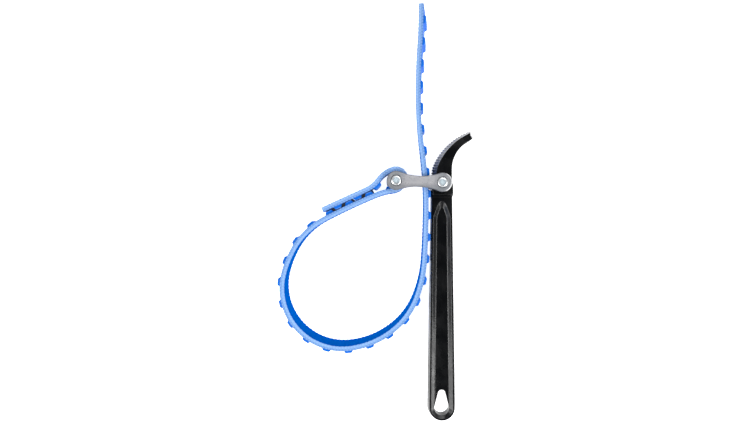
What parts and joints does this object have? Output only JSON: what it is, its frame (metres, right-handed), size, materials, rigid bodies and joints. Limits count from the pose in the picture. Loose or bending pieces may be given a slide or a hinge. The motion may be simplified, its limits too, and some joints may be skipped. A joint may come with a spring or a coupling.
{
  "type": "oil filter wrench",
  "caption": "Strap-type oil filter wrench: a lugged belt loop held by a two-plate link and jammed by the serrated horn of a forged lever with a hanging hole.",
  "frame": {"origin": "middle of the rear link plate's outer face, halfway between the two pins", "axes": "+Y along the free end of the belt and away from the grip, +X from the belt towards the lever, +Z along the pins towards the screw heads"},
  "size_m": [0.1961, 0.4206, 0.0367],
  "materials": {
    "cast_link": "satin plated casting",
    "barrel_steel": "turned steel",
    "zinc_screw": "bright zinc",
    "black_forging": "gloss black",
    "belt_fabric": "cut textile edge, light blue",
    "belt_rubber": "satin royal blue",
    "thread": "light blue thread"
  },
  "bodies": {
    "link": {"link_plate_front": "cast_link", "link_plate_rear": "cast_link", "pivot_barrel": "barrel_steel", "pivot_screw": "zinc_screw", "eye_barrel": "barrel_steel", "eye_screw": "zinc_screw"},
    "lever": {"lever": "black_forging"},
    "belt_eye": {"belt_core_eye": "belt_fabric", "belt_cover_eye": "belt_rubber", "belt_liner_eye": "belt_rubber", "end_stitching": "thread"},
    "belt_left": {"belt_core_left": "belt_fabric", "belt_cover_left": "belt_rubber", "belt_liner_left": "belt_rubber"},
    "belt_bottom": {"belt_core_bottom": "belt_fabric", "belt_cover_bottom": "belt_rubber", "belt_liner_bottom": "belt_rubber"},
    "belt_right": {"belt_core_right": "belt_fabric", "belt_cover_right": "belt_rubber", "belt_liner_right": "belt_rubber"},
    "belt_tail": {"belt_core_tail": "belt_fabric", "belt_cover_tail": "belt_rubber", "belt_liner_tail": "belt_rubber"}
  },
  "joints": [
    {"name": "lever_pivot", "type": "hinge", "parent": "link", "child": "lever", "pos_m": [0.02298, -0.00088, 0.0181], "axis": [0, 0, 1], "range_deg": [0, 42]},
    {"name": "belt_swing", "type": "hinge", "parent": "link", "child": "belt_eye", "pos_m": [-0.02298, 0.00088, 0.0181], "axis": [0, 0, 1], "range_deg": [-4, 0]},
    {"name": "belt_feed", "type": "hinge", "parent": "belt_eye", "child": "belt_left", "pos_m": [-0.1325, -0.09099, 0.0181], "axis": [0, 0, 1], "range_deg": [0, 5.39]},
    {"name": "belt_feed_bottom", "type": "hinge", "parent": "belt_left", "child": "belt_bottom", "pos_m": [-0.0813, -0.16474, 0.0181], "axis": [0, 0, 1], "range_deg": [0, 6.3]},
    {"name": "belt_feed_right", "type": "hinge", "parent": "belt_bottom", "child": "belt_right", "pos_m": [-0.00657, -0.13059, 0.0181], "axis": [0, 0, 1], "range_deg": [-11.69, 0]},
    {"name": "belt_nip", "type": "hinge", "parent": "belt_right", "child": "belt_tail", "pos_m": [0.00211, -0.08813, 0.0181], "axis": [0, 0, 1], "range_deg": [0, 6.35]}
  ],
  "couplings": [
    {"joint": "belt_feed_bottom", "follows": "belt_feed", "ratio": 1.1596},
    {"joint": "belt_feed_right", "follows": "belt_feed", "ratio": -2.1596},
    {"joint": "belt_nip", "follows": "lever_pivot", "ratio": 0.15}
  ]
}
